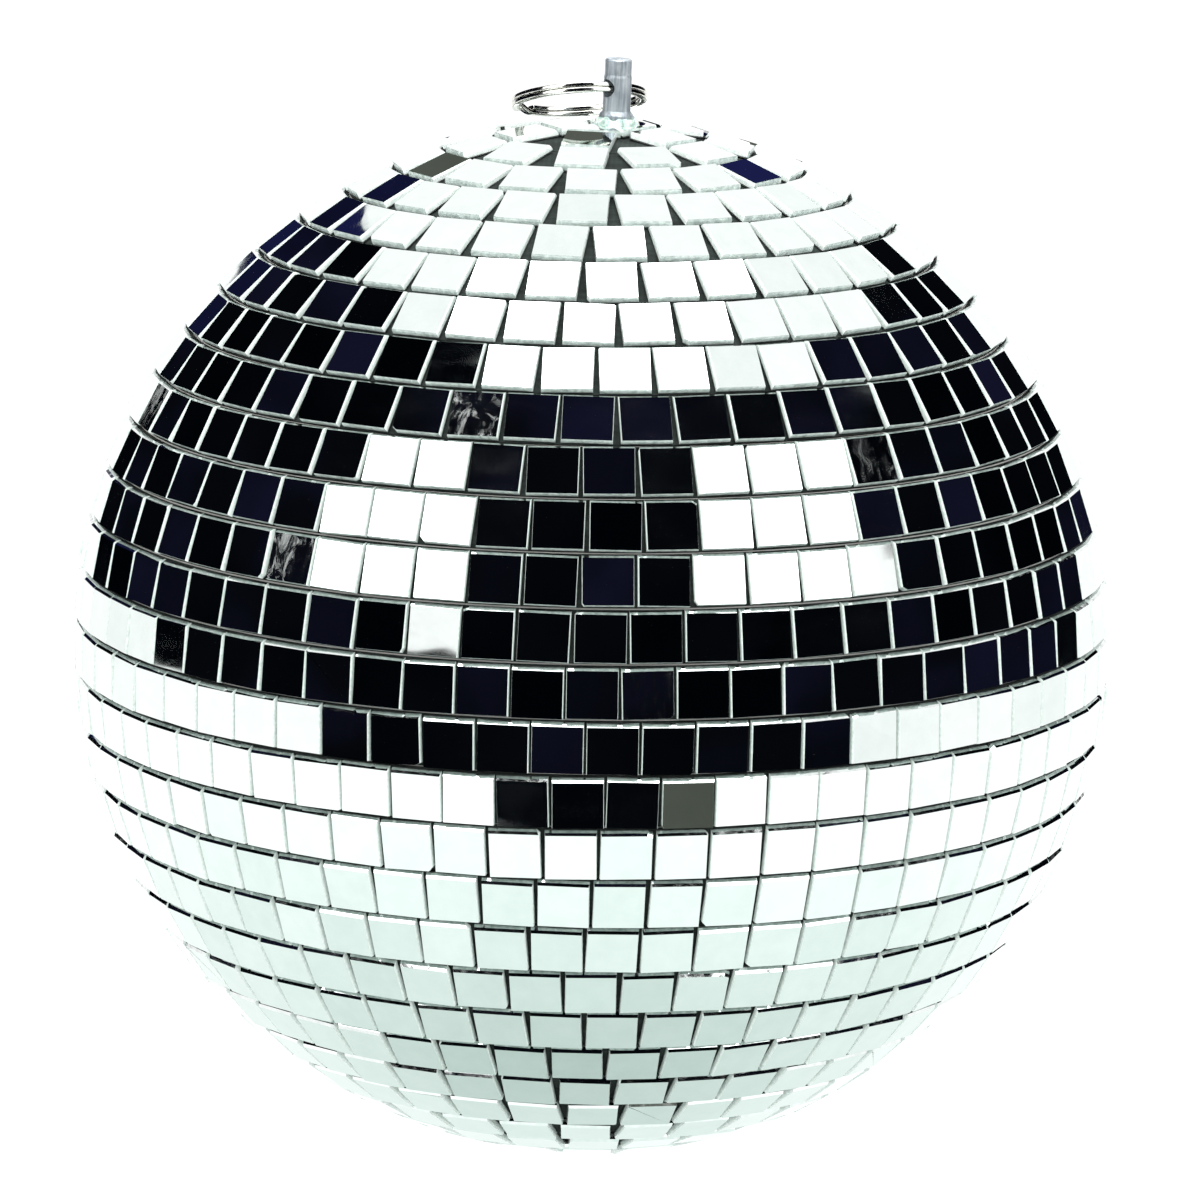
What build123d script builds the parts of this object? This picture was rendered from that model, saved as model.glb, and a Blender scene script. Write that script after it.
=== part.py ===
from build123d import *
import os
from math import cos, floor, pi, radians, sin, tan

# An 8 inch mirror ball: square glass mirror tiles laid in rows on a hollow moulded core, hung by a
# cross-drilled metal pin with a split ring through it. Millimetres, +Z up along the pin.
# The origin is the centre of the pin's cross hole, where the weight of the ball hangs.

# ---- driving dimensions -------------------------------------------------------------------------
ball_radius = 101.6          # ball centre to the mirror faces: an 8 inch ball
row_count = 31               # bands of tiles from pole to pole, the two polar patches included
tile_size = 9.525            # a 3/8 inch square mirror tile
tile_thickness = 1.5
least_tile_pitch = 10.0      # tile to tile along the narrower edge of a row
row_tilt = 1.8               # the hand-laid rows run this many degrees off the pin's axis
row_start_step = 0.381966    # part of a tile by which each row starts on from the row above

backing_thickness = 0.5      # cloth strips that the tiles come glued to
backing_gap = 0.3            # between neighbouring strips
tile_bed = 0.15              # cement between the strips and the backs of the tiles
core_bed = 0.05              # cement between the core and the strips

core_wall = 3.0
rim_overlap = 4.0            # how far the upper half's spigot reaches into the lower half
rim_clearance = 0.1
rim_cement_depth = 0.8       # ring of cement under the spigot
boss_radius = 8.0
boss_depth = 8.0             # from the core's outer surface
rib_count = 6
rib_thickness = 1.6
rib_reach = 28.0

hole_height = 6.6            # from the mirror faces at the top up to the cross hole
hole_radius = 1.75
tip_radius = 2.6             # the pin's turned end, above the cross hole
tip_top = 5.65
tip_bottom = 2.6
taper_bottom = 2.05          # a short cone joins the tip to the slightly thicker shank
shank_radius = 2.7
pin_chamfer = 0.25
flare_top = -4.4             # where the shank widens into its foot
flare_bottom = -5.2
foot_radius = 3.3
flange_radius = 4.5
flange_thickness = 1.2
flange_clearance = 0.15      # round the flange, in the core's spot face
thread_radius = 2.5          # M5, modelled plain
thread_clearance = 0.1       # round the thread, in the boss, the washers and the nuts
pin_bottom = -31.0

bead_radius = 4.9            # hot glue round the foot of the pin
bead_top_radius = 3.8
bead_top = -5.35
bead_clearance = 0.05
patch_clearance = 0.25       # between the glue and the tiles cut to fit round it

washer_radius = 12.0
washer_thickness = 1.5
spring_washer_radius = 4.4
spring_washer_thickness = 1.2
spring_washer_slot = 0.8
nut_width = 8.0              # across flats
nut_height = 4.0
jam_nut_height = 2.7

ring_radius = 12.5           # to the middle of the split ring's flattened wire
wire_width = 1.5             # along the ring's radius
wire_height = 0.95
coil_gap = 0.05
jog_heading = 205.0          # counted round the ring from the cross hole
jog_angle = 24.0             # where the wire steps from the lower coil to the upper one
jog_steps = 6
ring_heading = 128.3         # plan direction from the pin to the middle of the ring
ring_droop = 17.7            # at rest the ring's far side lies just clear of the tiles
ring_twist = 6.0             # and the ring lies a little askew in the cross hole
ring_offset = 12.35          # middle of the ring from the cross hole: the wire is curved in it

# ---- worked out from them -----------------------------------------------------------------------
row_angle = 180 / row_count
patch_row = row_count // 2
last_row = patch_row - 1
ball_centre = Vector(0, 0, -ball_radius - hole_height)
tile_back = ball_radius - tile_thickness
backing_radius = tile_back - tile_bed
core_radius = backing_radius - backing_thickness - core_bed
core_inner = core_radius - core_wall
core_middle = core_radius - core_wall / 2
core_top = ball_centre.Z + core_radius
flange_bottom = core_top - flange_thickness / 2
boss_bottom = core_top - boss_depth
bore_radius = thread_radius + thread_clearance
centre_plane = Plane(origin=ball_centre)
section_plane = Plane(origin=ball_centre, x_dir=(1, 0, 0), z_dir=(0, -1, 0))
row_axis = Vector(0, 0, 1).rotate(Axis.Y, -row_tilt)
row_east = Vector(1, 0, 0).rotate(Axis.Y, -row_tilt)

os.makedirs("parts", exist_ok=True)


def save(part, name):
    part.label = name
    export_step(part, f"parts/{name}.step")


# ---- core: two moulded halves cemented at the equator -------------------------------------------
def shell_section(low, high):
    # Half the section of the hollow sphere between two heights, for turning about the pin's axis.
    with BuildSketch() as section:
        Circle(core_radius)
        Circle(core_inner, mode=Mode.SUBTRACT)
        with Locations((core_radius / 2, (low + high) / 2)):
            Rectangle(core_radius, high - low, mode=Mode.INTERSECT)
    return section.sketch


def rib_plane(turn):
    heading = (turn + 0.5) * 360 / rib_count
    return Plane(
        origin=ball_centre,
        x_dir=Vector(1, 0, 0).rotate(Axis.Z, heading),
        z_dir=Vector(0, -1, 0).rotate(Axis.Z, heading),
    )


def rib_section(pole):
    # A web from the boss out to the wall; pole is 1 for the top half and -1 for the bottom half.
    root = boss_radius - 2
    wall_at_root = (core_middle**2 - root**2) ** 0.5
    wall_at_reach = (core_middle**2 - rib_reach**2) ** 0.5
    boss_end = core_radius - boss_depth + 1
    with BuildSketch() as section:
        with BuildLine():
            Polyline(
                (root, pole * wall_at_root),
                (rib_reach, pole * wall_at_reach),
                (root, pole * boss_end),
                close=True,
            )
        make_face()
    return section.sketch


rim_middle = core_inner + core_wall / 2

with BuildPart() as core_upper_shell:
    with BuildSketch(section_plane):
        add(shell_section(0, core_radius))
    revolve(axis=Axis((0, 0, 0), (0, 0, 1)))
    with BuildSketch(centre_plane.offset(-rim_overlap)):
        Circle(rim_middle - rim_clearance)
        Circle(core_inner - rim_clearance, mode=Mode.SUBTRACT)
    extrude(amount=rim_overlap + 2)
    with BuildSketch(Plane.XY.offset(boss_bottom)):
        Circle(boss_radius)
    extrude(amount=boss_depth - core_wall / 2)
    for turn in range(rib_count):
        with BuildSketch(rib_plane(turn)):
            add(rib_section(1))
        extrude(amount=rib_thickness / 2, both=True)
    with BuildSketch(Plane.XY.offset(boss_bottom)):
        Circle(bore_radius)
    extrude(amount=2 * boss_depth, mode=Mode.SUBTRACT)
    with BuildSketch(Plane.XY.offset(flange_bottom)):
        Circle(flange_radius + flange_clearance)
    extrude(amount=boss_depth, mode=Mode.SUBTRACT)
save(core_upper_shell.part, "core_upper_shell")

with BuildPart() as core_lower_shell:
    with BuildSketch(section_plane):
        add(shell_section(-core_radius, 0))
    revolve(axis=Axis((0, 0, 0), (0, 0, 1)))
    with BuildSketch(centre_plane):
        Circle(rim_middle)
    extrude(amount=-rim_overlap - rim_cement_depth, mode=Mode.SUBTRACT)
    with BuildSketch(centre_plane.offset(-core_radius + core_wall / 2)):
        Circle(boss_radius)
    extrude(amount=boss_depth - core_wall / 2)
    for turn in range(rib_count):
        with BuildSketch(rib_plane(turn)):
            add(rib_section(-1))
        extrude(amount=rib_thickness / 2, both=True)
save(core_lower_shell.part, "core_lower_shell")

with BuildPart() as rim_cement_ring:
    with BuildSketch(centre_plane.offset(-rim_overlap - rim_cement_depth)):
        Circle(rim_middle - rim_clearance)
        Circle(core_inner + rim_clearance, mode=Mode.SUBTRACT)
    extrude(amount=rim_cement_depth - rim_clearance)
save(rim_cement_ring.part, "rim_cement_ring")


# ---- mirror tiles -------------------------------------------------------------------------------
def tile_plane(latitude, longitude, radius):
    # Flat on the sphere of that radius, facing out, with local Y towards the rows' north pole.
    east = row_east.rotate(Axis((0, 0, 0), row_axis), longitude + 90)
    outward = row_axis.rotate(Axis((0, 0, 0), east), 90 - latitude)
    return Plane(origin=ball_centre + outward * radius, x_dir=east, z_dir=outward)


def tiles_in(row):
    # As many whole tiles as the row's narrower edge holds.
    edge_latitude = radians((abs(row) + 0.5) * row_angle)
    return floor(2 * pi * ball_radius * cos(edge_latitude) / least_tile_pitch)


def first_longitude(row):
    return (patch_row - row) * row_start_step % 1 * 360 / tiles_in(row)


def name_of(row):
    return f"mirror_row_{patch_row - row:02d}"


for row in range(last_row, -last_row - 1, -1):
    step = 360 / tiles_in(row)
    planes = [
        tile_plane(row * row_angle, first_longitude(row) + i * step, tile_back)
        for i in range(tiles_in(row))
    ]
    with BuildPart() as mirror_row:
        with BuildSketch(*planes):
            Rectangle(tile_size, tile_size)
        extrude(amount=tile_thickness)
    save(mirror_row.part, name_of(row))


# ---- polar patches: six cut tiles that close each pole -------------------------------------------
row_gap = ball_radius * radians(row_angle) - tile_size
patch_count = tiles_in(last_row)
half_wedge = radians(180 / patch_count)
patch_reach = ball_radius * radians(row_angle) - row_gap / 2
wedge_middle = patch_reach / 2
wedge_latitude = 90 - wedge_middle / ball_radius * 180 / pi


def wedge_outline(pole):
    # Its point lies at the rows' pole and its base along the last row of tiles.
    point = wedge_middle - row_gap / 2 / sin(half_wedge)
    base = -(patch_reach - wedge_middle)
    half_base = patch_reach * tan(half_wedge) - row_gap / 2 / cos(half_wedge)
    with BuildSketch() as outline:
        with BuildLine():
            Polyline(
                (0, pole * point),
                (-half_base, pole * base),
                (half_base, pole * base),
                close=True,
            )
        make_face()
    return outline.sketch


def wedge_planes(pole):
    start = first_longitude(pole * last_row)
    return [
        tile_plane(pole * wedge_latitude, start + i * 360 / patch_count, tile_back)
        for i in range(patch_count)
    ]


with BuildPart() as mirror_patch_top:
    with BuildSketch(*wedge_planes(1)):
        add(wedge_outline(1))
    extrude(amount=tile_thickness)
    with BuildSketch(Plane.XY.offset(core_top)):
        Circle(bead_radius + patch_clearance)
    extrude(amount=hole_height, mode=Mode.SUBTRACT)
save(mirror_patch_top.part, "mirror_patch_top")

with BuildPart() as mirror_patch_bottom:
    with BuildSketch(*wedge_planes(-1)):
        add(wedge_outline(-1))
    extrude(amount=tile_thickness)
save(mirror_patch_bottom.part, "mirror_patch_bottom")


# ---- cloth strips under the tiles ---------------------------------------------------------------
strip_plane = Plane(origin=ball_centre, x_dir=row_east, z_dir=Vector(0, -1, 0))
half_strip_gap = backing_gap / 2 / backing_radius * 180 / pi


def strip_section(row):
    # A thin arc one row high, for turning about the rows' axis; the end rows run up to the pole.
    low = -90 if row == -patch_row else (row - 0.5) * row_angle + half_strip_gap
    high = 90 if row == patch_row else (row + 0.5) * row_angle - half_strip_gap
    inner = backing_radius - backing_thickness
    with BuildSketch() as section:
        with BuildLine():
            outer_arc = CenterArc((0, 0), backing_radius, low, high - low)
            inner_arc = CenterArc((0, 0), inner, low, high - low)
            Line(outer_arc @ 0, inner_arc @ 0)
            Line(outer_arc @ 1, inner_arc @ 1)
        make_face()
    return section.sketch


with BuildPart() as backing_strips_upper:
    for row in range(0, patch_row + 1):
        with BuildSketch(strip_plane):
            add(strip_section(row))
        revolve(axis=Axis(ball_centre, row_axis))
    with BuildSketch(Plane.XY.offset(core_top - core_wall)):
        Circle(flange_radius + flange_clearance)
    extrude(amount=hole_height, mode=Mode.SUBTRACT)
save(backing_strips_upper.part, "backing_strips_upper")

with BuildPart() as backing_strips_lower:
    for row in range(-patch_row, 0):
        with BuildSketch(strip_plane):
            add(strip_section(row))
        revolve(axis=Axis(ball_centre, row_axis))
save(backing_strips_lower.part, "backing_strips_lower")

# ---- hanging pin and what clamps it --------------------------------------------------------------
hole_heading = ring_heading - 90
hole_direction = Vector(cos(radians(hole_heading)), sin(radians(hole_heading)), 0)

with BuildPart() as hanging_pin:
    with BuildSketch(Plane.XZ):
        with BuildLine():
            Polyline(
                (0, pin_bottom),
                (thread_radius - pin_chamfer, pin_bottom),
                (thread_radius, pin_bottom + pin_chamfer),
                (thread_radius, flange_bottom),
                (flange_radius, flange_bottom),
                (flange_radius, flange_bottom + flange_thickness),
                (foot_radius, flange_bottom + flange_thickness),
                (foot_radius, flare_bottom),
                (shank_radius, flare_top),
                (shank_radius, taper_bottom),
                (tip_radius, tip_bottom),
                (tip_radius, tip_top - pin_chamfer),
                (tip_radius - pin_chamfer, tip_top),
                (0, tip_top),
                close=True,
            )
        make_face()
    revolve(axis=Axis.Z)
    with BuildSketch(Plane(origin=(0, 0, 0), z_dir=hole_direction)):
        Circle(hole_radius)
    extrude(amount=foot_radius, both=True, mode=Mode.SUBTRACT)
save(hanging_pin.part, "hanging_pin")

with BuildPart() as pin_glue_bead:
    with BuildSketch(Plane.XZ):
        with BuildLine():
            Polyline(
                (foot_radius + bead_clearance, flange_bottom + flange_thickness + bead_clearance),
                (bead_radius, flange_bottom + flange_thickness + bead_clearance),
                (bead_radius, -hole_height),
                (bead_top_radius, bead_top),
                (foot_radius + bead_clearance, bead_top),
                close=True,
            )
        make_face()
    revolve(axis=Axis.Z)
save(pin_glue_bead.part, "pin_glue_bead")

with BuildPart() as load_washer:
    with BuildSketch(Plane.XY.offset(boss_bottom)):
        Circle(washer_radius)
        Circle(bore_radius, mode=Mode.SUBTRACT)
    extrude(amount=-washer_thickness)
    chamfer(load_washer.edges().filter_by(GeomType.CIRCLE).group_by(SortBy.RADIUS)[-1], 0.2)
save(load_washer.part, "load_washer")

spring_washer_top = boss_bottom - washer_thickness
with BuildPart() as spring_washer:
    with BuildSketch(Plane.XY.offset(spring_washer_top)):
        Circle(spring_washer_radius)
        Circle(bore_radius, mode=Mode.SUBTRACT)
        with Locations(Location((spring_washer_radius, 0), 30)):
            Rectangle(2 * spring_washer_radius, spring_washer_slot, mode=Mode.SUBTRACT)
    extrude(amount=-spring_washer_thickness)
save(spring_washer.part, "spring_washer")


def nut(top, height):
    with BuildPart() as blank:
        with BuildSketch(Plane.XY.offset(top - height)):
            RegularPolygon(nut_width / 2, 6, major_radius=False)
        extrude(amount=height)
        with BuildSketch(Plane.XZ):
            corner = nut_width / 2 / cos(pi / 6)
            with BuildLine():
                Polyline(
                    (0, top - height),
                    (nut_width / 2, top - height),
                    (corner, top - height + (corner - nut_width / 2) / 2),
                    (corner, top - (corner - nut_width / 2) / 2),
                    (nut_width / 2, top),
                    (0, top),
                    close=True,
                )
            make_face()
        revolve(axis=Axis.Z, mode=Mode.INTERSECT)
        with BuildSketch(Plane.XY.offset(top)):
            Circle(bore_radius)
        extrude(amount=-height, mode=Mode.SUBTRACT)
    return blank.part


nut_top = spring_washer_top - spring_washer_thickness
save(nut(nut_top, nut_height), "hex_nut")
save(nut(nut_top - nut_height, jam_nut_height), "jam_nut")

# ---- split ring: one flattened wire wound twice round --------------------------------------------
outward_plan = Vector(1, 0, 0).rotate(Axis.Z, ring_heading)
swing_axis = Axis((0, 0, 0), hole_direction)
outward = outward_plan.rotate(swing_axis, -ring_droop)
ring_normal = Vector(0, 0, 1).rotate(swing_axis, -ring_droop)
ring_normal = ring_normal.rotate(Axis((0, 0, 0), outward), ring_twist)
ring_plane = Plane(origin=outward * ring_offset, x_dir=-outward, z_dir=ring_normal)
coil_rise = wire_height + coil_gap
ring_line = Axis(ring_plane.origin, ring_plane.z_dir)


def wire_plane(heading):
    # Across the wire, with local X along the ring's radius and local Y along its axis.
    radial = ring_plane.x_dir.rotate(Axis((0, 0, 0), ring_plane.z_dir), heading)
    along = ring_plane.z_dir.cross(radial)
    return Plane(
        origin=ring_plane.origin + radial * ring_radius, x_dir=radial, z_dir=-along
    )


jog_start = jog_heading - jog_angle / 2
jog_end = jog_heading + jog_angle / 2
with BuildPart() as split_ring:
    with BuildSketch(wire_plane(jog_end)):
        with Locations((0, -coil_rise / 2)):
            Rectangle(wire_width, wire_height)
    revolve(axis=ring_line, revolution_arc=360 - jog_angle)
    with BuildSketch(wire_plane(jog_end)):
        with Locations((0, coil_rise / 2)):
            Rectangle(wire_width, wire_height)
    revolve(axis=ring_line, revolution_arc=360 - jog_angle)
    for i in range(jog_steps + 1):
        share = i / jog_steps
        rise = coil_rise * (0.5 - 0.5 * cos(pi * share)) - coil_rise / 2
        with BuildSketch(wire_plane(jog_start + share * jog_angle)):
            with Locations((0, rise)):
                Rectangle(wire_width, wire_height)
    loft()
save(split_ring.part, "split_ring")

print("ring middle", ring_plane.origin, "swing axis", hole_direction)
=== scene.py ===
from math import atan2, cos, floor, pi, radians, sin, tan
from random import Random

import bmesh
import bpy
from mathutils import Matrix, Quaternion, Vector


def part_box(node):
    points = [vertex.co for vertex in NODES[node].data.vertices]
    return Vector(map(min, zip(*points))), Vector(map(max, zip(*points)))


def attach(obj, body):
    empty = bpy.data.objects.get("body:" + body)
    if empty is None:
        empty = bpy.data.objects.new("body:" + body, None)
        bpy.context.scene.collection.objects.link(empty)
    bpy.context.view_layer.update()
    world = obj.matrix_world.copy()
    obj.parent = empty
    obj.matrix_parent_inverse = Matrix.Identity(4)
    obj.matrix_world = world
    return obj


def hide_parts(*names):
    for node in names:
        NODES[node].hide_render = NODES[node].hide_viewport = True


# A hanging mirror ball in a white studio. Metres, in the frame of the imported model: +Z up along the
# hanging pin, the origin at the middle of the pin's cross hole.

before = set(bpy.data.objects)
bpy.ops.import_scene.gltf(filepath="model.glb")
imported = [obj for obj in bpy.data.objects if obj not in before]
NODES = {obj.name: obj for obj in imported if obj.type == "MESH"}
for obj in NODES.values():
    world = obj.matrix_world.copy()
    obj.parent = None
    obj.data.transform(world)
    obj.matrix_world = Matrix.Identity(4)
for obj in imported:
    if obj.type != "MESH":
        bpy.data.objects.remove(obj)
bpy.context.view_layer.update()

# ---- sizes, in metres, shared with the part -----------------------------------------------------
MM = 0.001
ROW_COUNT = 31
PATCH_ROW = ROW_COUNT // 2
LAST_ROW = PATCH_ROW - 1
ROW_ANGLE = pi / ROW_COUNT
ROW_TILT = radians(1.8)
ROW_START_STEP = 0.381966
TILE_SIZE = 9.525 * MM
TILE_THICKNESS = 1.5 * MM
LEAST_PITCH = 10.0 * MM
HOLE_HEIGHT = 6.6 * MM
BALL_RADIUS = 101.6 * MM
CENTRE = Vector((0, 0, -BALL_RADIUS - HOLE_HEIGHT))
ROW_AXIS = Vector((-sin(ROW_TILT), 0, cos(ROW_TILT)))
ROW_EAST = Vector((cos(ROW_TILT), 0, sin(ROW_TILT)))
TILE_SINK = 0.10 * MM         # tilted tiles sit this much deeper, so that no corner stands proud


# ---- shared helpers -----------------------------------------------------------------------------
def link(obj):
    bpy.context.scene.collection.objects.link(obj)
    return obj


def mesh_object(name, verts, faces, materials, face_slots=None, smooth=False):
    mesh = bpy.data.meshes.new(name)
    mesh.from_pydata([tuple(v) for v in verts], [], faces)
    for material in materials:
        mesh.materials.append(material)
    if face_slots:
        mesh.polygons.foreach_set("material_index", face_slots)
    mesh.polygons.foreach_set("use_smooth", [smooth] * len(mesh.polygons))
    mesh.update()
    return link(bpy.data.objects.new(name, mesh))


def fix_normals(obj):
    work = bmesh.new()
    work.from_mesh(obj.data)
    bmesh.ops.recalc_face_normals(work, faces=work.faces)
    work.to_mesh(obj.data)
    work.free()


def tube_faces(rings, count, closed):
    # The sides of a tube of rings with the same number of points, joined end to end if closed.
    faces = []
    for i in range(rings if closed else rings - 1):
        k = (i + 1) % rings
        for j in range(count):
            n = (j + 1) % count
            faces.append([i * count + j, k * count + j, k * count + n, i * count + n])
    return faces


class Nodes:
    """A material's node tree, with short calls for adding and joining nodes."""

    def __init__(self, name):
        self.material = bpy.data.materials.new(name)
        self.material.use_nodes = True
        self.tree = self.material.node_tree
        self.shader = self.tree.nodes["Principled BSDF"]

    def add(self, kind, **settings):
        node = self.tree.nodes.new(kind)
        for key, value in settings.items():
            setattr(node, key, value)
        return node

    def join(self, source, target):
        self.tree.links.new(source, target)

    def set(self, **values):
        for key, value in values.items():
            self.shader.inputs[key.replace("_", " ")].default_value = value

    def coordinates(self, scale=(1, 1, 1)):
        place = self.add("ShaderNodeTexCoord")
        mapping = self.add("ShaderNodeMapping")
        mapping.inputs["Scale"].default_value = scale
        self.join(place.outputs["Object"], mapping.inputs["Vector"])
        return mapping.outputs["Vector"]

    def noise(self, vector, scale, detail=3, roughness=0.5, distortion=0.0):
        node = self.add("ShaderNodeTexNoise")
        node.inputs["Scale"].default_value = scale
        node.inputs["Detail"].default_value = detail
        node.inputs["Roughness"].default_value = roughness
        node.inputs["Distortion"].default_value = distortion
        self.join(vector, node.inputs["Vector"])
        return node.outputs["Fac"]

    def spread(self, value, low, high, to_low, to_high):
        node = self.add("ShaderNodeMapRange")
        node.inputs["From Min"].default_value = low
        node.inputs["From Max"].default_value = high
        node.inputs["To Min"].default_value = to_low
        node.inputs["To Max"].default_value = to_high
        self.join(value, node.inputs["Value"])
        return node.outputs["Result"]

    def ramp(self, value, *stops):
        node = self.add("ShaderNodeValToRGB")
        elements = node.color_ramp.elements
        while len(elements) < len(stops):
            elements.new(0.5)
        for element, (position, colour) in zip(elements, stops):
            element.position = position
            element.color = (*colour, 1)
        self.join(value, node.inputs["Fac"])
        return node.outputs["Color"]

    def mix(self, factor, first, second, blend_type="MIX"):
        node = self.add("ShaderNodeMix", data_type="RGBA", blend_type=blend_type)
        for value, name in ((factor, "Factor"), (first, "A"), (second, "B")):
            socket = [s for s in node.inputs if s.name == name and s.enabled][0]
            if isinstance(value, bpy.types.NodeSocket):
                self.join(value, socket)
            else:
                socket.default_value = value
        return [s for s in node.outputs if s.enabled][0]

    def bump(self, height, strength, distance):
        node = self.add("ShaderNodeBump")
        node.inputs["Strength"].default_value = strength
        node.inputs["Distance"].default_value = distance
        self.join(height, node.inputs["Height"])
        self.join(node.outputs["Normal"], self.shader.inputs["Normal"])
        return node

    def colour(self, socket):
        self.join(socket, self.shader.inputs["Base Color"])

    def roughness(self, socket):
        self.join(socket, self.shader.inputs["Roughness"])


# ---- materials ----------------------------------------------------------------------------------
GLASS_GREEN = (0.935, 0.968, 0.956, 1.0)


def mirror_face():
    # Silvered float glass: each tile has its own tone, faint waves and a film of dust. The few
    # with the highest tone are smeared with dirty streaks.
    m = Nodes("mirror_face")
    m.set(Metallic=1.0, Coat_Weight=1.0, Coat_Roughness=0.02, Coat_IOR=1.5, Coat_Tint=GLASS_GREEN)
    place = m.coordinates()
    tone = m.add("ShaderNodeAttribute", attribute_name="tone").outputs["Fac"]
    silver = m.ramp(
        tone,
        (0.0, (0.86, 0.90, 0.885)),
        (0.5, (0.92, 0.945, 0.935)),
        (1.0, (0.975, 0.985, 0.98)),
    )
    film = m.noise(place, 220, 5, 0.6)
    dulled = m.ramp(film, (0.35, (1.0, 1.0, 1.0)), (0.75, (0.92, 0.935, 0.93)))
    m.colour(m.mix(1.0, silver, dulled, "MULTIPLY"))
    streaks = m.noise(m.coordinates((1, 1, 0.25)), 420, 5, 0.65, 0.8)
    wiped = m.spread(streaks, 0.45, 0.62, 0.0, 0.14)
    dirty = m.spread(tone, 0.955, 0.965, 0.0, 1.0)
    clean = m.spread(m.noise(m.coordinates((1, 1, 3)), 90, 4, 0.55, 0.6), 0.35, 0.75, 0.010, 0.045)
    dirt = m.add("ShaderNodeMath", operation="MULTIPLY")
    m.join(wiped, dirt.inputs[0])
    m.join(dirty, dirt.inputs[1])
    total = m.add("ShaderNodeMath", operation="ADD")
    m.join(clean, total.inputs[0])
    m.join(dirt.outputs[0], total.inputs[1])
    m.roughness(total.outputs[0])
    m.bump(m.noise(place, 45, 2, 0.4), 0.10, 0.0006)
    return m.material


def glass_edge():
    # Cut and ground edges: pale green, bright where the arris catches the light.
    m = Nodes("glass_edge")
    m.set(Coat_Weight=0.8, Coat_Roughness=0.06)
    place = m.coordinates()
    grain = m.noise(place, 1500, 4, 0.6)
    m.colour(m.ramp(grain, (0.3, (0.66, 0.77, 0.72)), (0.7, (0.96, 1.0, 0.98))))
    m.roughness(m.spread(m.noise(place, 600, 3), 0.3, 0.7, 0.08, 0.32))
    m.bump(grain, 0.35, 0.00008)
    return m.material


def polished_bevel():
    # The polished slope along one edge, silvered behind, slightly uneven from the wheel.
    m = Nodes("polished_bevel")
    m.set(Metallic=1.0, Coat_Weight=0.2, Coat_Roughness=0.05)
    place = m.coordinates()
    wheel = m.noise(place, 700, 3, 0.5)
    m.colour(m.ramp(wheel, (0.3, (0.74, 0.80, 0.78)), (0.7, (0.90, 0.93, 0.92))))
    m.roughness(m.spread(wheel, 0.3, 0.7, 0.03, 0.12))
    m.bump(m.noise(place, 260, 2, 0.4), 0.25, 0.0002)
    return m.material


def shaded_south_edge():
    # A cut edge in a darker grey than the others: painted shade on the south side of each tile,
    # in the gaps between rows.
    m = Nodes("shaded_south_edge")
    m.set(Coat_Weight=0.5, Coat_Roughness=0.08)
    place = m.coordinates()
    shade_blotches = m.noise(place, 900, 4, 0.6, 0.4)
    m.colour(m.ramp(shade_blotches, (0.3, (0.30, 0.37, 0.345)), (0.7, (0.68, 0.77, 0.73))))
    m.roughness(m.spread(shade_blotches, 0.3, 0.7, 0.25, 0.5))
    m.bump(shade_blotches, 0.3, 0.00006)
    return m.material


def tile_back():
    # Grey backing paint over the silvering, wrapped a little up the edge.
    m = Nodes("tile_back")
    place = m.coordinates()
    m.colour(m.ramp(m.noise(place, 700, 4), (0.3, (0.045, 0.05, 0.05)), (0.7, (0.10, 0.115, 0.11))))
    m.roughness(m.spread(m.noise(place, 300, 3), 0.3, 0.7, 0.5, 0.8))
    m.bump(m.noise(place, 1800, 3), 0.3, 0.00005)
    return m.material


def backing_cloth():
    # Dark woven strip, stained by the cement: threads cross at about two to the millimetre.
    m = Nodes("backing_cloth_woven")
    place = m.coordinates()
    threads = []
    for axis in ("X", "Y", "Z"):
        wave = m.add("ShaderNodeTexWave", wave_type="BANDS", bands_direction=axis)
        wave.inputs["Scale"].default_value = 320
        wave.inputs["Distortion"].default_value = 1.5
        m.join(place, wave.inputs["Vector"])
        threads.append(wave.outputs["Fac"])
    weave = m.mix(0.5, threads[0], threads[1])
    weave = m.mix(0.4, weave, threads[2])
    soak = m.noise(place, 160, 4, 0.6)
    cloth = m.ramp(soak, (0.3, (0.014, 0.019, 0.017)), (0.7, (0.050, 0.062, 0.057)))
    m.colour(m.mix(0.35, cloth, weave, "MULTIPLY"))
    m.roughness(m.spread(soak, 0.3, 0.7, 0.65, 0.95))
    m.set(Specular_IOR_Level=0.06)
    m.bump(weave, 0.5, 0.00015)
    return m.material


def moulded_plastic():
    m = Nodes("moulded_plastic")
    place = m.coordinates()
    flow = m.noise(m.coordinates((1, 1, 0.2)), 30, 4, 0.6, 0.8)
    m.colour(m.ramp(flow, (0.3, (0.70, 0.70, 0.66)), (0.7, (0.80, 0.80, 0.77))))
    m.roughness(m.spread(m.noise(place, 400, 3), 0.3, 0.7, 0.38, 0.55))
    m.bump(m.noise(place, 2500, 2), 0.15, 0.00005)
    return m.material


def rim_cement():
    m = Nodes("rim_cement_set")
    place = m.coordinates()
    clots = m.noise(place, 250, 4, 0.6, 0.5)
    m.colour(m.ramp(clots, (0.3, (0.66, 0.60, 0.45)), (0.7, (0.84, 0.80, 0.68))))
    m.roughness(m.spread(clots, 0.3, 0.7, 0.2, 0.5))
    m.bump(clots, 0.6, 0.0003)
    return m.material


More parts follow.
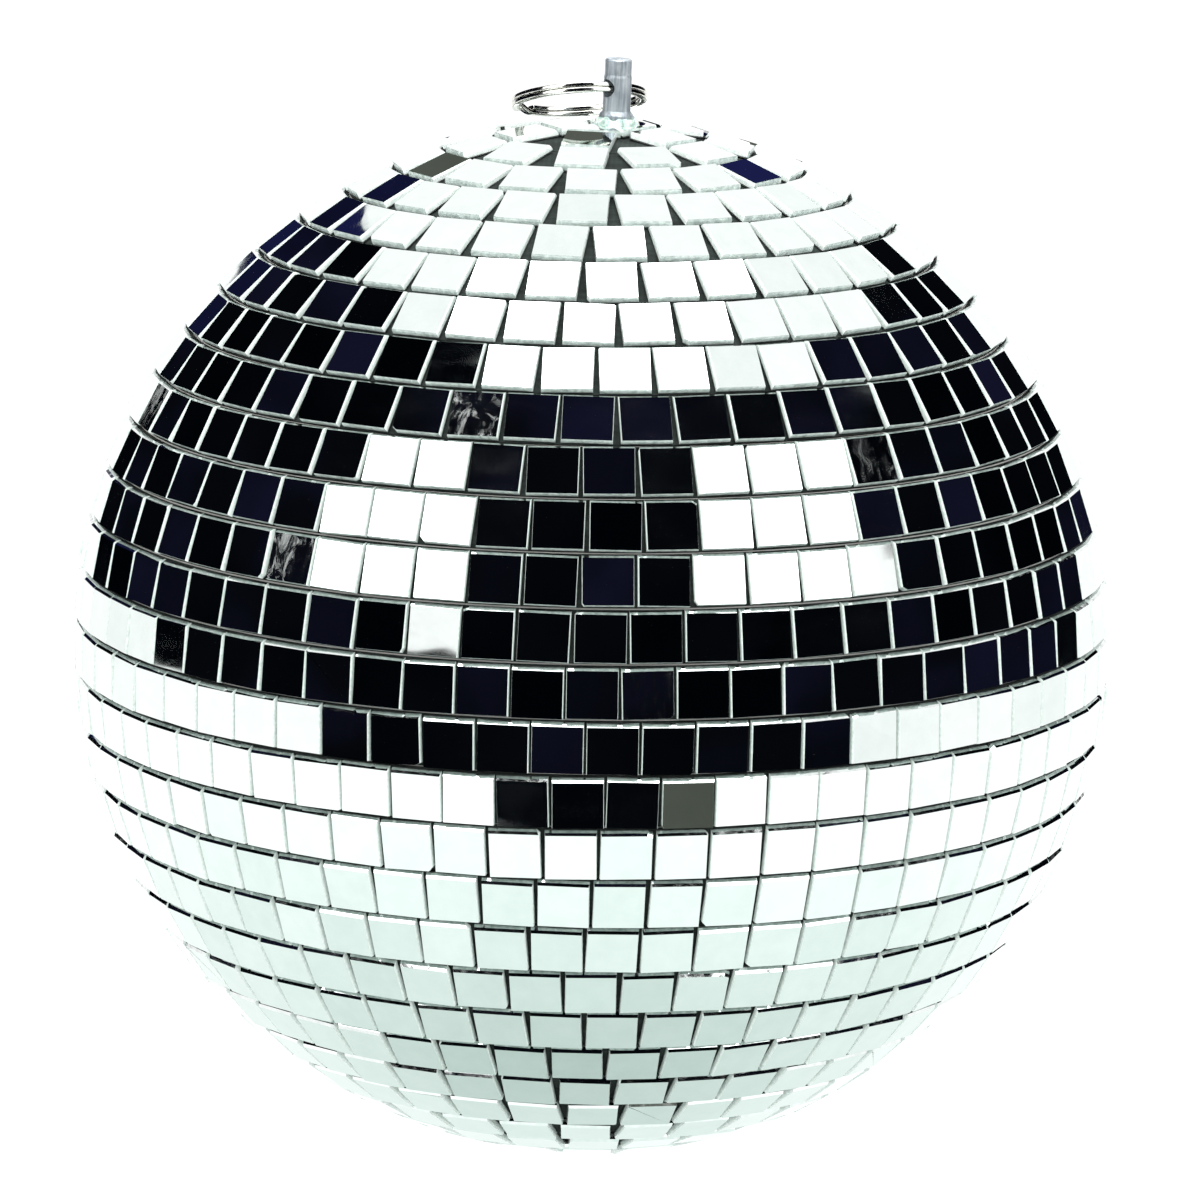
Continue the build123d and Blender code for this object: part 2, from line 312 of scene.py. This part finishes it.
def hot_glue():
    # Milky translucent glue with trapped bubbles. Its green cast is a painted reflection of the
    # glass around it.
    m = Nodes("hot_glue_milky")
    m.set(Coat_Weight=0.8, Coat_Roughness=0.04, IOR=1.48, Subsurface_Weight=0.15, Subsurface_Scale=0.001)
    place = m.coordinates()
    cloud = m.noise(place, 500, 4, 0.6, 0.4)
    m.colour(m.ramp(
        cloud,
        (0.36, (0.10, 0.19, 0.16)),
        (0.5, (0.46, 0.60, 0.54)),
        (0.66, (0.86, 0.92, 0.89)),
    ))
    m.roughness(m.spread(m.noise(place, 900, 3), 0.3, 0.7, 0.12, 0.38))
    m.bump(m.noise(place, 1100, 3, 0.6, 0.5), 0.7, 0.0004)
    return m.material


def zinc_pin():
    # Turned and zinc plated: a dull blue-grey bloom, streaks drawn along the pin, and faint rings
    # from turning.
    m = Nodes("zinc_pin_turned")
    m.set(Metallic=0.75)
    place = m.coordinates()
    rings = m.add("ShaderNodeTexWave", wave_type="BANDS", bands_direction="Z")
    rings.inputs["Scale"].default_value = 2600
    rings.inputs["Distortion"].default_value = 0.4
    m.join(place, rings.inputs["Vector"])
    streaks = m.noise(m.coordinates((1, 1, 0.05)), 1300, 4, 0.6)
    bloom = m.noise(place, 380, 4, 0.6)
    plate = m.ramp(
        streaks,
        (0.36, (0.30, 0.34, 0.38)),
        (0.5, (0.52, 0.57, 0.61)),
        (0.64, (0.74, 0.79, 0.82)),
    )
    dull = m.ramp(bloom, (0.35, (0.74, 0.78, 0.80)), (0.7, (1.0, 1.0, 1.0)))
    m.colour(m.mix(1.0, plate, dull, "MULTIPLY"))
    m.roughness(m.spread(bloom, 0.3, 0.7, 0.38, 0.60))
    m.bump(m.mix(0.25, streaks, rings.outputs["Fac"]), 0.20, 0.00005)
    return m.material


def fixing_steel():
    m = Nodes("fixing_steel_plated")
    m.set(Metallic=1.0)
    place = m.coordinates()
    spangle = m.noise(place, 500, 4, 0.6)
    m.colour(m.ramp(spangle, (0.3, (0.50, 0.50, 0.46)), (0.7, (0.70, 0.70, 0.67))))
    m.roughness(m.spread(spangle, 0.3, 0.7, 0.25, 0.45))
    m.bump(m.noise(place, 2000, 3), 0.2, 0.00004)
    return m.material


def bright_nickel():
    # Nickel-plated spring wire, slightly warm, with rub marks along the edges.
    m = Nodes("bright_nickel_wire")
    m.set(Metallic=1.0)
    place = m.coordinates()
    rub = m.noise(place, 700, 4, 0.6)
    m.colour(m.ramp(rub, (0.3, (0.62, 0.62, 0.57)), (0.7, (0.86, 0.86, 0.82))))
    m.roughness(m.spread(rub, 0.3, 0.7, 0.06, 0.20))
    m.bump(m.noise(place, 1600, 3), 0.12, 0.00004)
    return m.material


TILE_MATERIALS = [mirror_face(), glass_edge(), tile_back(), polished_bevel(), shaded_south_edge()]
FACE_SLOT, EDGE_SLOT, BACK_SLOT, BEVEL_SLOT, SOUTH_SHADE_SLOT = range(5)


# ---- mirror tiles -------------------------------------------------------------------------------
# The edge towards the rows' north pole is polished round in two slopes; the others are only broken.
BEVEL_DEPTHS = (1.00 * MM, 0.45 * MM)   # where the two slopes begin, below the face
NORTH_WIDTHS = (0.28 * MM, 0.70 * MM)   # how far in they come on the north side
BEVEL_WIDTHS = (0.02 * MM, 0.12 * MM)   # and on the other sides
PAINT_HEIGHT = 0.25 * MM                # backing paint that wraps up the edge
TILT_SPREAD = radians(0.9)
MOST_TILT = radians(2.2)
TWIST_SPREAD = radians(0.7)
SHIFT_SPREAD = 0.10 * MM
CHIP_CHANCE = 0.25
CHIP_LEAST = 0.30 * MM
CHIP_MOST = 1.0 * MM
ROW_SEED = 1000
ALONG = 0.8                             # share of a side's length that makes it face a pole
SLIGHT_TURN = 0.25                      # corners that turn less than this are nearly straight


def tiles_in(row):
    edge_latitude = (abs(row) + 0.5) * ROW_ANGLE
    return floor(2 * pi * BALL_RADIUS * cos(edge_latitude) / LEAST_PITCH)


def first_longitude(row):
    return (PATCH_ROW - row) * ROW_START_STEP % 1 * 2 * pi / tiles_in(row)


def tile_axes(latitude, longitude):
    # East, north and outward on the ball at a place counted from the rows' own pole.
    east = Quaternion(ROW_AXIS, longitude + pi / 2) @ ROW_EAST
    outward = Quaternion(east, pi / 2 - latitude) @ ROW_AXIS
    return east, outward.cross(east), outward


def square_outline(dice):
    # The tile seen from the front, anticlockwise, now and then with a chipped corner.
    half = TILE_SIZE / 2
    corners = [Vector((x, y)) for x, y in ((-half, -half), (half, -half), (half, half), (-half, half))]
    outline = []
    chipped = dice.randrange(4) if dice.random() < CHIP_CHANCE else None
    for i, corner in enumerate(corners):
        if i == chipped:
            before = (corners[i - 1] - corner).normalized()
            after = (corners[(i + 1) % 4] - corner).normalized()
            outline.append(corner + before * dice.uniform(CHIP_LEAST, CHIP_MOST))
            outline.append(corner + after * dice.uniform(CHIP_LEAST, CHIP_MOST))
        else:
            outline.append(corner)
    return outline


def faces_north(outline, i):
    side = outline[(i + 1) % len(outline)] - outline[i]
    return side.x < -ALONG * side.length


def faces_south(outline, i):
    side = outline[(i + 1) % len(outline)] - outline[i]
    return side.x > ALONG * side.length


def inset(outline, width, north_width):
    # Each side of the outline moved in, by more on the side towards the north.
    moved = []
    for i, point in enumerate(outline):
        last = (i - 1) % len(outline)
        back = (point - outline[last]).normalized()
        ahead = (outline[(i + 1) % len(outline)] - point).normalized()
        back_width = north_width if faces_north(outline, last) else width
        ahead_width = north_width if faces_north(outline, i) else width
        turn = back.x * ahead.y - back.y * ahead.x
        if abs(turn) < SLIGHT_TURN:
            moved.append(point + Vector((-back.y, back.x)) * back_width)
        else:
            moved.append(point + (ahead * back_width - back * ahead_width) / turn)
    return moved


def add_tile(outline, place, verts, faces, slots):
    # Back, painted foot, cut edge, two slopes of bevel and mirror face, as one closed solid. The
    # foot of the north edge is darkened higher up in the back's colour and the south edge in a darker
    # grey: painted shade in the gaps between rows.
    start = len(verts)
    levels = (
        (outline, 0.0),
        (outline, PAINT_HEIGHT),
        (outline, TILE_THICKNESS - BEVEL_DEPTHS[0]),
        (inset(outline, BEVEL_WIDTHS[0], NORTH_WIDTHS[0]), TILE_THICKNESS - BEVEL_DEPTHS[1]),
        (inset(outline, BEVEL_WIDTHS[1], NORTH_WIDTHS[1]), TILE_THICKNESS),
    )
    count = len(outline)
    for ring, height in levels:
        for point in ring:
            verts.append(place(point.x, point.y, height))
    faces.append([start + i for i in reversed(range(count))])
    slots.append(BACK_SLOT)
    for level in range(len(levels) - 1):
        low = start + level * count
        for i in range(count):
            j = (i + 1) % count
            faces.append([low + i, low + j, low + count + j, low + count + i])
            # The back's colour on the north foot and the darker south edge are painted shade in the row
            # gaps.
            if level == 0 or level == 1 and faces_north(outline, i):
                slots.append(BACK_SLOT)
            elif faces_north(outline, i):
                slots.append(BEVEL_SLOT)
            elif faces_south(outline, i):
                slots.append(SOUTH_SHADE_SLOT)
            else:
                slots.append(EDGE_SLOT)
    top = start + (len(levels) - 1) * count
    faces.append([top + i for i in range(count)])
    slots.append(FACE_SLOT)
    return len(faces)


def tile_placer(latitude, longitude, dice):
    # Tiles are pressed on by hand: each sits slightly tilted, turned and shifted.
    east, north, outward = tile_axes(latitude, longitude)
    tilt_east = max(-MOST_TILT, min(MOST_TILT, dice.gauss(0, TILT_SPREAD)))
    tilt_north = max(-MOST_TILT, min(MOST_TILT, dice.gauss(0, TILT_SPREAD)))
    turn = dice.gauss(0, TWIST_SPREAD)
    shift = Vector((dice.uniform(-1, 1), dice.uniform(-1, 1))) * SHIFT_SPREAD
    lean = Quaternion(east, tilt_east) @ Quaternion(north, tilt_north) @ Quaternion(outward, turn)
    lift = BALL_RADIUS - TILE_THICKNESS - TILE_SINK
    middle = CENTRE + outward * lift + east * shift.x + north * shift.y

    def place(x, y, height):
        return middle + lean @ (east * x + north * y + outward * height)

    return place


def finish_tiles(name, verts, faces, slots, face_ends, tones, node):
    tiles = mesh_object(name, verts, faces, TILE_MATERIALS, slots)
    tone = tiles.data.attributes.new("tone", "FLOAT", "FACE")
    values = []
    for end, value in zip(face_ends, tones):
        values += [value] * (end - len(values))
    tone.data.foreach_set("value", values)
    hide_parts(node)
    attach(tiles, "ball")


def build_row(row):
    dice = Random(ROW_SEED + row)
    verts, faces, slots, face_ends, tones = [], [], [], [], []
    count = tiles_in(row)
    for i in range(count):
        place = tile_placer(row * ROW_ANGLE, first_longitude(row) + i * 2 * pi / count, dice)
        face_ends.append(add_tile(square_outline(dice), place, verts, faces, slots))
        tones.append(dice.random())
    number = PATCH_ROW - row
    node = f"mirror_row_{number:02d}"
    finish_tiles(f"tiles_{number:02d}", verts, faces, slots, face_ends, tones, node)


for row in range(LAST_ROW, -LAST_ROW - 1, -1):
    build_row(row)


# ---- polar patches ------------------------------------------------------------------------------
PATCH_SEED = 2000
PATCH_GAP = 0.75 * MM
PATCH_REACH = BALL_RADIUS * ROW_ANGLE - PATCH_GAP / 2
BEAD_LOW, BEAD_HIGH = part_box("pin_glue_bead")
BEAD_RADIUS = (BEAD_HIGH.x - BEAD_LOW.x) / 2
PATCH_CUT = BEAD_RADIUS + 0.25 * MM
SIDE_STEPS = 24               # steps along each side in the search for where the bite begins and ends
CUT_STEPS = 9
TIP_WIDTH = 0.25 * MM         # half the width of the snapped-off point
TIP_SHORT = 0.3 * MM
TIP_SLANT = 0.25 * MM
LEAST_PIECE = 2 * MM * MM     # smaller cut pieces are left out
SAME_POINT = 1e-9
CLOSE = 1e-6


def wedge_outline(pole, count, dice, cut_centre):
    # A cut triangle with its point at the pole; where the pin's glue is in the way, a round bite.
    middle = PATCH_REACH / 2
    half_angle = pi / count
    point = middle - PATCH_GAP / 2 / sin(half_angle) - TIP_SHORT
    base = middle - PATCH_REACH
    half_base = PATCH_REACH * tan(half_angle) - PATCH_GAP / 2 / cos(half_angle)
    slant = dice.uniform(-TIP_SLANT, TIP_SLANT)
    end = point - TIP_WIDTH * half_base / middle
    outline = [
        Vector((-half_base, pole * base)),
        Vector((half_base, pole * base)),
        Vector((TIP_WIDTH, pole * (end + slant))),
        Vector((-TIP_WIDTH, pole * (end - slant))),
    ]
    if pole < 0:
        outline.reverse()
    if cut_centre is None:
        return outline
    return clipped(outline, cut_centre)


def clipped(outline, centre):
    # The outline with the circle round the pin taken out of it.
    dense = []
    for i, point in enumerate(outline):
        following = outline[(i + 1) % len(outline)]
        dense += [point.lerp(following, s / SIDE_STEPS) for s in range(SIDE_STEPS)]
    kept = [(p - centre).length > PATCH_CUT for p in dense]
    if all(kept):
        return outline
    if not any(kept):
        return []
    first_out = next(i for i in range(len(dense)) if kept[i - 1] and not kept[i])
    ordered = dense[first_out:] + dense[:first_out]
    flags = kept[first_out:] + kept[:first_out]
    length_out = next(i for i in range(len(ordered)) if flags[i])
    enter, leave = ordered[-1], ordered[length_out]
    angle_in = atan2(enter.y - centre.y, enter.x - centre.x)
    angle_out = atan2(leave.y - centre.y, leave.x - centre.x)
    sweep = (angle_out - angle_in + pi) % (2 * pi) - pi
    bite = []
    for s in range(1, CUT_STEPS):
        angle = angle_in + sweep * s / CUT_STEPS
        bite.append(centre + Vector((cos(angle), sin(angle))) * PATCH_CUT)
    corners = []
    for point in ordered[length_out:]:
        is_corner = any((point - corner).length < SAME_POINT for corner in outline)
        if is_corner and (point - leave).length > CLOSE and (point - enter).length > CLOSE:
            corners.append(point)
    return [leave] + corners + [enter] + bite


def build_patch(pole, name, node):
    dice = Random(PATCH_SEED + pole)
    verts, faces, slots, face_ends, tones = [], [], [], [], []
    count = tiles_in(LAST_ROW)
    start = first_longitude(pole * LAST_ROW)
    latitude = pole * (pi / 2 - PATCH_REACH / 2 / BALL_RADIUS)
    for i in range(count):
        longitude = start + i * 2 * pi / count
        east, north, outward = tile_axes(latitude, longitude)
        middle = CENTRE + outward * (BALL_RADIUS - TILE_THICKNESS)
        to_pin = Vector((0, 0, middle.z)) - middle
        cut_centre = Vector((to_pin.dot(east), to_pin.dot(north))) if pole > 0 else None
        outline = wedge_outline(pole, count, dice, cut_centre)
        place = tile_placer(latitude, longitude, dice)
        if len(outline) < 3 or outline_area(outline) < LEAST_PIECE:
            continue
        face_ends.append(add_tile(outline, place, verts, faces, slots))
        tones.append(dice.random())
    finish_tiles(name, verts, faces, slots, face_ends, tones, node)


def outline_area(outline):
    return abs(sum(a.x * b.y - b.x * a.y for a, b in zip(outline, outline[1:] + outline[:1]))) / 2


build_patch(1, "tiles_top_patch", "mirror_patch_top")
build_patch(-1, "tiles_bottom_patch", "mirror_patch_bottom")


# ---- glue round the foot of the pin -------------------------------------------------------------
BEAD_SEED = 77
BEAD_INNER = 3.36 * MM        # just clear of the foot of the pin
BEAD_AROUND = 72
BEAD_ACROSS = 14
BEAD_WAVES = 7
BEAD_SWELL = 0.045            # how much its outer radius varies either way
BEAD_DIP = 0.28               # how much of its height the lowest part lacks
BEAD_RIM = 0.12               # the share of its height that the outer rim keeps


def build_bead():
    # A lumpy ring of set glue, thicker in some places than in others.
    dice = Random(BEAD_SEED)
    height = BEAD_HIGH.z - BEAD_LOW.z
    waves = []
    for _ in range(BEAD_WAVES):
        waves.append((dice.randint(2, 9), dice.uniform(0, 2 * pi), dice.uniform(0.2, 1.0)))
    total = sum(weight for count, start, weight in waves)
    last = BEAD_ACROSS - 1
    verts = []
    for i in range(BEAD_AROUND):
        angle = 2 * pi * i / BEAD_AROUND
        swell = sum(weight * sin(count * angle + start) for count, start, weight in waves) / total
        outer = BEAD_RADIUS * (1 - BEAD_SWELL + BEAD_SWELL * swell)
        top = BEAD_HIGH.z - BEAD_DIP * height * (0.5 - 0.5 * swell)
        section = [(BEAD_INNER, BEAD_LOW.z)]
        for j in range(1, last):
            slope = (j - 1) / (last - 2)
            ripple = 0.05 * sin(5 * angle + 9 * slope) + 0.04 * sin(11 * angle - 7 * slope)
            swollen = (1 - slope**2.2) ** 0.7 + ripple * (1 - slope)
            z = BEAD_LOW.z + (top - BEAD_LOW.z) * max(BEAD_RIM, swollen)
            section.append((BEAD_INNER + (outer - BEAD_INNER) * slope, min(z, BEAD_HIGH.z)))
        section.append((outer, BEAD_LOW.z))
        verts += [(radius * cos(angle), radius * sin(angle), z) for radius, z in section]
    faces = tube_faces(BEAD_AROUND, BEAD_ACROSS, True)
    bead = mesh_object("glue_round_pin", verts, faces, [hot_glue()], smooth=True)
    fix_normals(bead)
    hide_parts("pin_glue_bead")
    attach(bead, "ball")


build_bead()


# ---- split ring ---------------------------------------------------------------------------------
# It lies behind the pin: the wire passes through the cross hole, and the far side rests on tiles.
RING_RADIUS = 12.5 * MM       # to the middle of the wire
RING_OFFSET = 12.35 * MM      # from the middle of the cross hole
RING_HEADING = radians(128.3)
RING_DROOP = radians(17.7)
RING_TWIST = radians(6.0)
WIRE_WIDTH = 1.5 * MM
WIRE_HEIGHT = 0.95 * MM
WIRE_ROUND = 0.28 * MM
COIL_GAP = 0.05 * MM
JOG_START = radians(193.0)    # where the wire crosses from one coil to the other
JOG_ANGLE = radians(24.0)
RING_STEPS = 360
ROUND_STEPS = 5
END_TAPER = radians(3)        # the wire's ends thin out over this much of the ring
END_THIN = 0.55


def ring_axes():
    hinge = Vector((sin(RING_HEADING), -cos(RING_HEADING), 0))
    droop = Quaternion(hinge, -RING_DROOP)
    outward = droop @ Vector((cos(RING_HEADING), sin(RING_HEADING), 0))
    normal = Quaternion(outward, RING_TWIST) @ (droop @ Vector((0, 0, 1)))
    return outward, normal


def wire_section():
    # A flattened wire: a rectangle with rounded corners.
    points = []
    for turn, (sx, sy) in enumerate(((1, 1), (-1, 1), (-1, -1), (1, -1))):
        for s in range(ROUND_STEPS + 1):
            angle = turn * pi / 2 + s / ROUND_STEPS * pi / 2
            points.append((
                sx * (WIRE_WIDTH / 2 - WIRE_ROUND) + WIRE_ROUND * cos(angle),
                sy * (WIRE_HEIGHT / 2 - WIRE_ROUND) + WIRE_ROUND * sin(angle),
            ))
    return points


def build_ring():
    # One wire, twice round: along the lower coil, up the jog, and along the upper coil.
    outward, normal = ring_axes()
    middle = outward * RING_OFFSET
    inward = -outward
    across = normal.cross(inward)
    rise = (WIRE_HEIGHT + COIL_GAP) / 2
    start = JOG_START + JOG_ANGLE
    sweep = 4 * pi - JOG_ANGLE
    steps = RING_STEPS * 2
    section = wire_section()
    verts = []
    for i in range(steps + 1):
        turned = sweep * i / steps
        jog = (turned - (2 * pi - JOG_ANGLE)) / JOG_ANGLE
        level = -rise if jog <= 0 else rise if jog >= 1 else -rise * cos(pi * jog)
        angle = start + turned
        radial = inward * cos(angle) + across * sin(angle)
        taper = min(1.0, END_THIN + min(turned, sweep - turned) / END_TAPER)
        for x, y in section:
            verts.append(middle + radial * (RING_RADIUS + x) + normal * (level + y * taper))
    count = len(section)
    faces = tube_faces(steps + 1, count, False)
    faces.append(list(reversed(range(count))))
    faces.append([steps * count + j for j in range(count)])
    ring = mesh_object("split_ring_wire", verts, faces, [bright_nickel()], smooth=True)
    ring.data.polygons[-1].use_smooth = False
    ring.data.polygons[-2].use_smooth = False
    fix_normals(ring)
    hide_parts("split_ring")
    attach(ring, "ring")


build_ring()


# ---- CAD pieces that keep their shape ------------------------------------------------------------
def dress(material, *names):
    for name in names:
        for slot in NODES[name].material_slots:
            slot.material = material


dress(backing_cloth(), "backing_strips_upper", "backing_strips_lower")
dress(moulded_plastic(), "core_upper_shell", "core_lower_shell")
dress(rim_cement(), "rim_cement_ring")
dress(zinc_pin(), "hanging_pin")
dress(fixing_steel(), "load_washer", "spring_washer", "hex_nut", "jam_nut")


# ---- studio -------------------------------------------------------------------------------------
# The room is white all round. Black screens stand mostly on the camera's side and are seen only in
# reflections: the tiles show them as the dark half of the studio, with two windows left in them.
ROOM_LIGHT = 1.12
FLOOR_DROP = 0.55             # from the ball's lowest point
FLOOR_SIZE = 8.0
FLOOR_GLOW = 0.02
FLOOR_SHADOW_REACH = 1.6              # metres from the middle to where the paper is at its palest
# Painted shadow of the ball on the floor: grey-green at the middle, paling to white paper.
FLOOR_SHADOW_TONES = (
    (0.0, (0.30, 0.37, 0.345)),
    (0.25, (0.49, 0.55, 0.53)),
    (0.60, (0.67, 0.71, 0.70)),
    (0.85, (0.84, 0.85, 0.85)),
    (1.0, (0.95, 0.95, 0.95)),
)
SCREEN_DISTANCE = 1.5
SCREEN_STEP = 3.0             # degrees between the points of a screen
SCREENS = (
    # Degrees: azimuth from and to, 0 towards the camera and positive to the right; elevation of the
    # lower and the upper edge at azimuth 0; how far each edge has come down by azimuth 90.
    (-140, -41, -7, 15, 0, 0),       # the low wall, with a notch in its top edge
    (-41, -27, -7, 8, 0, 0),
    (-27, 140, -7, 15, 0, 0),
    (-57, 61, -19, -7, 0, 0),        # the desk in front of it
    (-19, 8, -30, -19, 0, 0),
    (-30, 27, 15, 56, 0, 0),         # the camera stand
    (-116, 88, 54, 66, 18, 18),      # the lamp bar overhead
    (-146, -68, 0, 74, 0, 14),       # side curtains
    (68, 88, 14, 60, 0, 18),
    (89, 152, 0, 70, 0, 13),
)
GREY_SCREENS = (
    (8, 32, -30, -19, 0, 0),
    (178, 198, 21, 32, 0, 0),
)
NAVY_SCREENS = (
    (-161, -146, 8, 74, 0, 14),
    (163, 169, 29, 42, 0, 0),
)
SOFT_LIGHTS = (
    # Name; azimuth and elevation in degrees; distance and size in metres; power in watts.
    ("softbox_left", -48, 32, 1.55, 1.08, 9.0),
    ("softbox_right", 47, 32, 1.55, 1.12, 9.0),
    ("softbox_top", 0, 84, 1.4, 1.1, 16.0),
)


def felt(name, *stops):
    # Unlit cloth: it shows only its own faint colour, which drifts from place to place.
    m = Nodes(name)
    m.set(Base_Color=(0, 0, 0, 1), Roughness=1.0, Specular_IOR_Level=0.0, Emission_Strength=1.0)
    drift = m.noise(m.coordinates(), 3.5, 4, 0.6, 0.5)
    m.join(m.ramp(drift, *stops), m.shader.inputs["Emission Color"])
    return m.material


def pale_floor():
    # White paper with a painted shadow of the ball: it fades to a soft grey-green under the ball,
    # where less light reaches it, and its faint glow carries the same painted shadow.
    m = Nodes("pale_floor")
    m.set(Roughness=0.8, Specular_IOR_Level=0.2, Emission_Strength=FLOOR_GLOW)
    place = m.coordinates()
    distance = m.add("ShaderNodeVectorMath", operation="LENGTH")
    m.join(m.coordinates((1, 1, 0)), distance.inputs[0])
    share = m.spread(distance.outputs["Value"], 0.0, FLOOR_SHADOW_REACH, 0.0, 1.0)
    # The painted shadow, darker the nearer the middle under the ball.
    shadowed_paper = m.ramp(share, *FLOOR_SHADOW_TONES)
    grain = m.ramp(m.noise(place, 40, 4), (0.3, (0.98, 0.98, 0.98)), (0.7, (1.0, 1.0, 1.0)))
    toned = m.mix(1.0, shadowed_paper, grain, "MULTIPLY")
    m.colour(toned)
    m.join(toned, m.shader.inputs["Emission Color"])
    # Seen from underneath, the paper is clear, so the ball can be looked at from below.
    clear = m.add("ShaderNodeBsdfTransparent")
    either = m.add("ShaderNodeMixShader")
    output = m.tree.nodes["Material Output"]
    m.join(m.add("ShaderNodeNewGeometry").outputs["Backfacing"], either.inputs["Fac"])
    m.join(m.shader.outputs["BSDF"], either.inputs[1])
    m.join(clear.outputs["BSDF"], either.inputs[2])
    m.join(either.outputs["Shader"], output.inputs["Surface"])
    return m.material


def direction(azimuth, elevation):
    return Vector((sin(azimuth) * cos(elevation), -cos(azimuth) * cos(elevation), sin(elevation)))


def build_screen(number, left, right, low, high, low_droop, high_droop, material):
    wide = max(1, round((right - left) / SCREEN_STEP))
    tall = max(1, round((high - low) / SCREEN_STEP))
    verts = []
    for j in range(tall + 1):
        for i in range(wide + 1):
            azimuth = left + (right - left) * i / wide
            bottom = low - low_droop * (azimuth / 90) ** 2
            top = high - high_droop * (azimuth / 90) ** 2
            elevation = bottom + (top - bottom) * j / tall
            verts.append(CENTRE + direction(radians(azimuth), radians(elevation)) * SCREEN_DISTANCE)
    row = wide + 1
    faces = []
    for j in range(tall):
        for i in range(wide):
            corner = j * row + i
            faces.append([corner, corner + 1, corner + row + 1, corner + row])
    screen = mesh_object(f"screen_{number}", verts, faces, [material], smooth=True)
    screen.visible_camera = False
    screen.visible_diffuse = False
    screen.visible_shadow = False


def build_studio():
    black = felt(
        "black_felt",
        (0.40, (0.0004, 0.0008, 0.0016)),
        (0.54, (0.002, 0.0025, 0.004)),
        (0.68, (0.007, 0.007, 0.022)),
    )
    grey = felt("grey_felt", (0.3, (0.07, 0.08, 0.065)), (0.7, (0.13, 0.135, 0.12)))
    navy = felt(
        "navy_felt",
        (0.35, (0.003, 0.003, 0.008)),
        (0.5, (0.007, 0.008, 0.035)),
        (0.65, (0.012, 0.014, 0.075)),
    )
    number = 0
    for screens, cloth in ((SCREENS, black), (GREY_SCREENS, grey), (NAVY_SCREENS, navy)):
        for screen in screens:
            build_screen(number, *screen, cloth)
            number += 1
    half = FLOOR_SIZE / 2
    level = CENTRE.z - BALL_RADIUS - FLOOR_DROP
    corners = [(-half, -half, level), (half, -half, level), (half, half, level), (-half, half, level)]
    floor_piece = mesh_object("floor", corners, [[0, 1, 2, 3]], [pale_floor()])
    world = bpy.data.worlds.new("white_room")
    bpy.context.scene.world = world
    bpy.context.scene.view_settings.view_transform = "Standard"
    world.use_nodes = True
    background = world.node_tree.nodes["Background"]
    background.inputs["Color"].default_value = (1, 1, 1, 1)
    background.inputs["Strength"].default_value = ROOM_LIGHT


def soft_light(name, azimuth, elevation, distance, size, power):
    light = bpy.data.lights.new(name, "AREA")
    light.shape = "SQUARE"
    light.size = size
    light.energy = power
    obj = link(bpy.data.objects.new(name, light))
    towards = direction(radians(azimuth), radians(elevation))
    obj.location = CENTRE + towards * distance
    obj.rotation_mode = "QUATERNION"
    obj.rotation_quaternion = towards.to_track_quat("Z", "Y")


build_studio()
for lamp in SOFT_LIGHTS:
    soft_light(*lamp)


# ---- camera -------------------------------------------------------------------------------------
# The point it looks at is a little to the right of the ball's middle and above it.
CAMERA_ELEVATION = radians(11.85)
CAMERA_DISTANCE = 12.2 * BALL_RADIUS
CAMERA_ROLL = radians(2.7)
FOCAL_PER_WIDTH = 5.248       # focal length over the picture's width
SENSOR_WIDTH = 36.0
AIM_RIGHT = 1.30 * MM
AIM_UP = 6.9 * MM


def build_camera():
    lens = bpy.data.cameras.new("camera")
    lens.sensor_width = SENSOR_WIDTH
    lens.lens = FOCAL_PER_WIDTH * SENSOR_WIDTH
    camera = link(bpy.data.objects.new("camera", lens))
    back = direction(0, CAMERA_ELEVATION)
    camera.location = CENTRE + back * CAMERA_DISTANCE
    right = Vector((1, 0, 0))
    up = back.cross(right)
    aim = CENTRE + right * AIM_RIGHT + up * AIM_UP
    look = (camera.location - aim).normalized()
    turn = look.to_track_quat("Z", "Y") @ Quaternion((0, 0, 1), CAMERA_ROLL)
    camera.rotation_mode = "QUATERNION"
    camera.rotation_quaternion = turn
    lens.clip_start = 0.05
    lens.clip_end = 50
    bpy.context.scene.camera = camera


build_camera()
